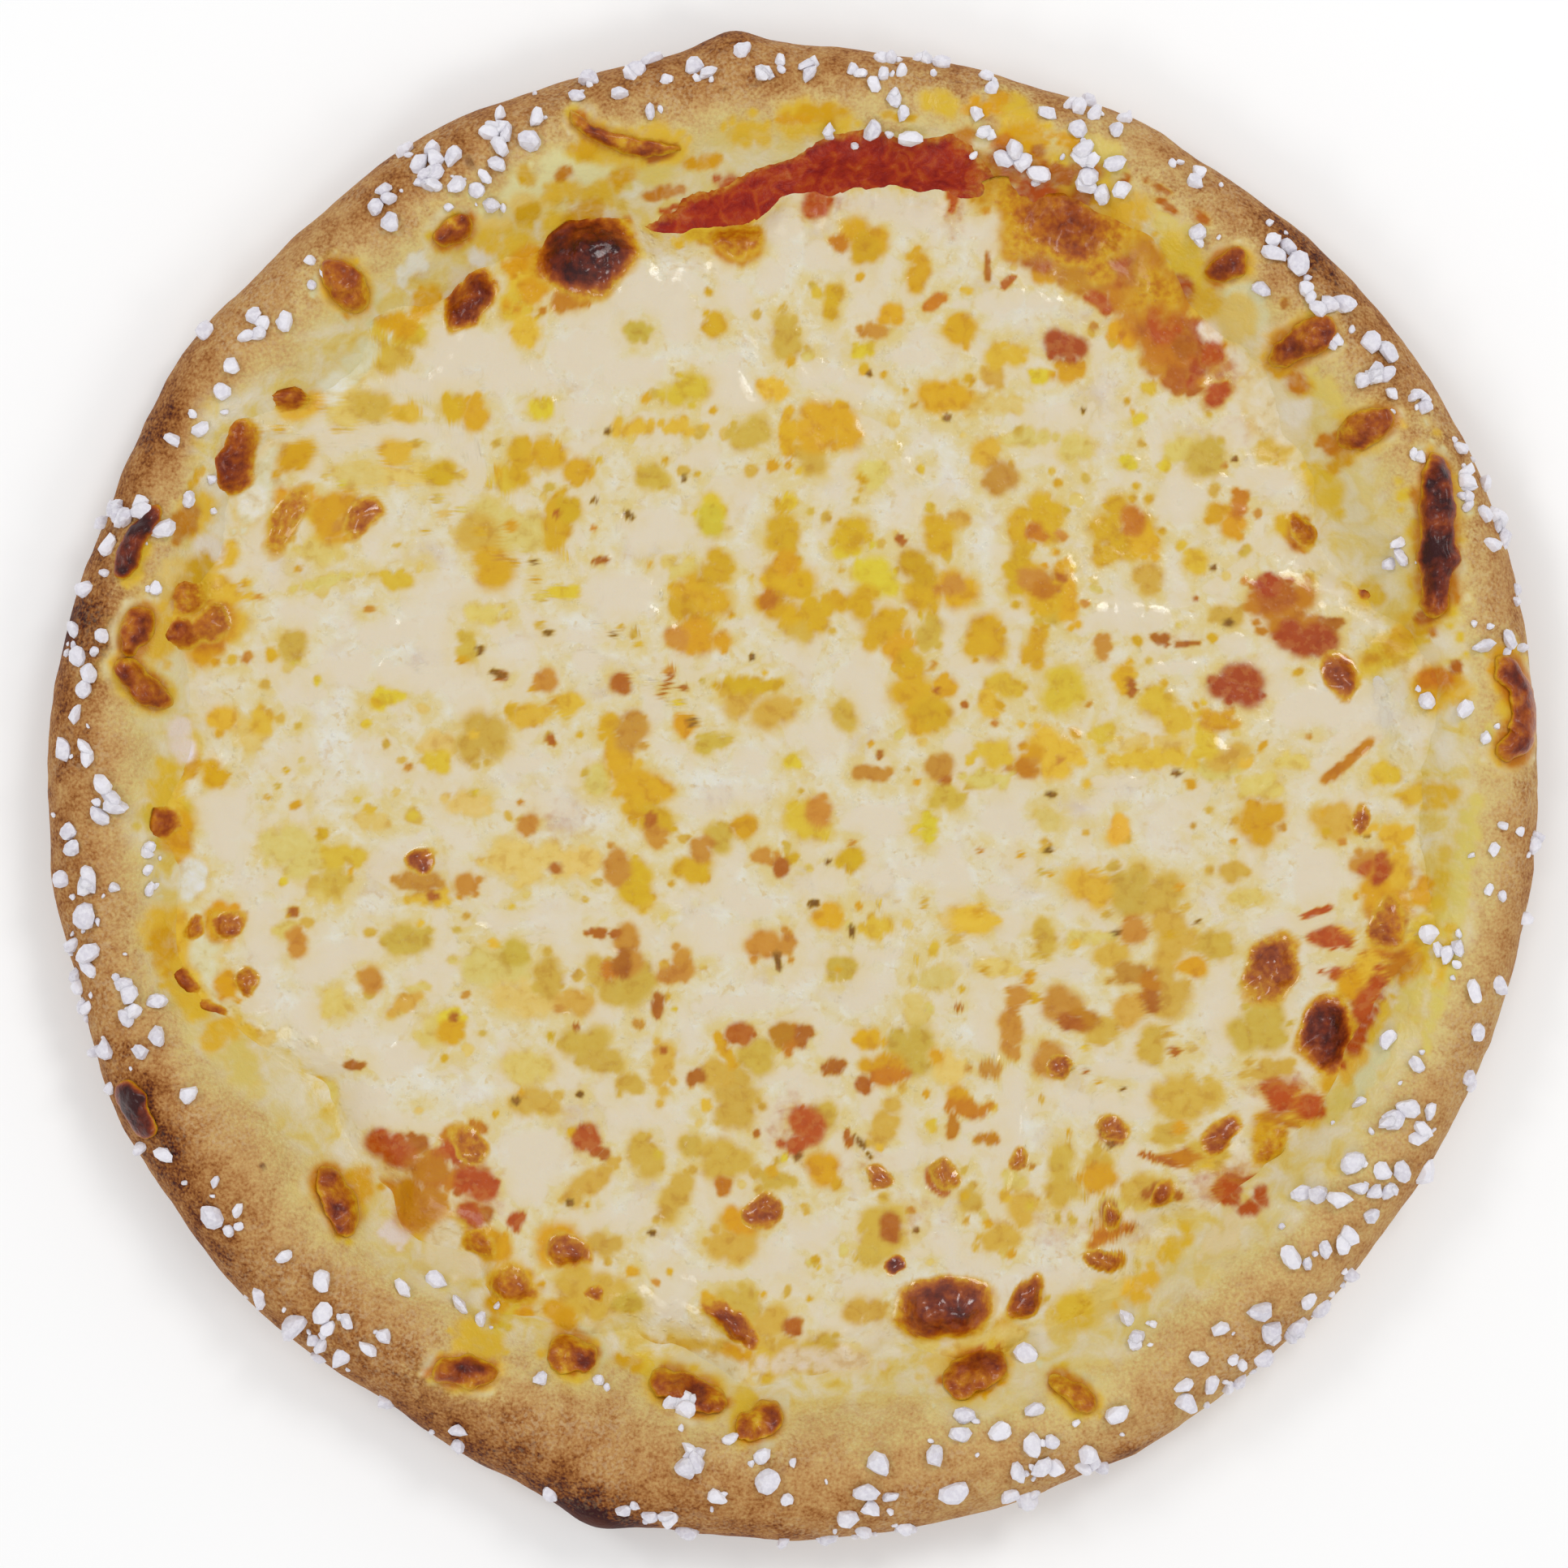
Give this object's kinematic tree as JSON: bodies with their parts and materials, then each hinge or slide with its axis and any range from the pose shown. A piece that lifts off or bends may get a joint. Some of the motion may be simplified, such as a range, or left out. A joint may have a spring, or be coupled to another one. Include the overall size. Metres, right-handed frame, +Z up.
{
  "type": "cheese pizza",
  "caption": "Round whole cheese pizza with a raised baked rim, a melted cheese filling and coarse salt; lies flat to be served or sliced.",
  "frame": {"origin": "centre of the flat underside", "axes": "+Z up out of the filling; +X towards the right side of the pictured pizza, +Y towards its top"},
  "size_m": [0.2537, 0.2556, 0.022],
  "materials": {
    "crust": "baked bread dough, golden tan with coarse white salt, dry and matt",
    "sauce": "cooked tomato sauce, dark red and moist",
    "cheese": "melted cheese, cream with golden patches, oily",
    "browned_cheese": "cheese baked brown to black, blistered"
  },
  "bodies": {
    "root": {"crust": "crust", "sauce": "sauce", "cheese": "cheese", "charred_strip": "browned_cheese", "edge_bubble": "browned_cheese", "cheese_drop_a": "browned_cheese", "cheese_drop_b": "browned_cheese", "cheese_drop_c": "browned_cheese", "cheese_strand": "browned_cheese", "cheese_drop_d": "browned_cheese", "cheese_drop_e": "browned_cheese", "cheese_drop_f": "browned_cheese", "cheese_drop_g": "browned_cheese", "cheese_drop_h": "browned_cheese", "burnt_patch": "browned_cheese", "cheese_drop_i": "browned_cheese", "cheese_drop_j": "browned_cheese", "cheese_drop_k": "browned_cheese", "cheese_drop_l": "browned_cheese", "cheese_drop_m": "browned_cheese", "cheese_drop_n": "browned_cheese", "cheese_drop_o": "browned_cheese"}
  },
  "joints": []
}
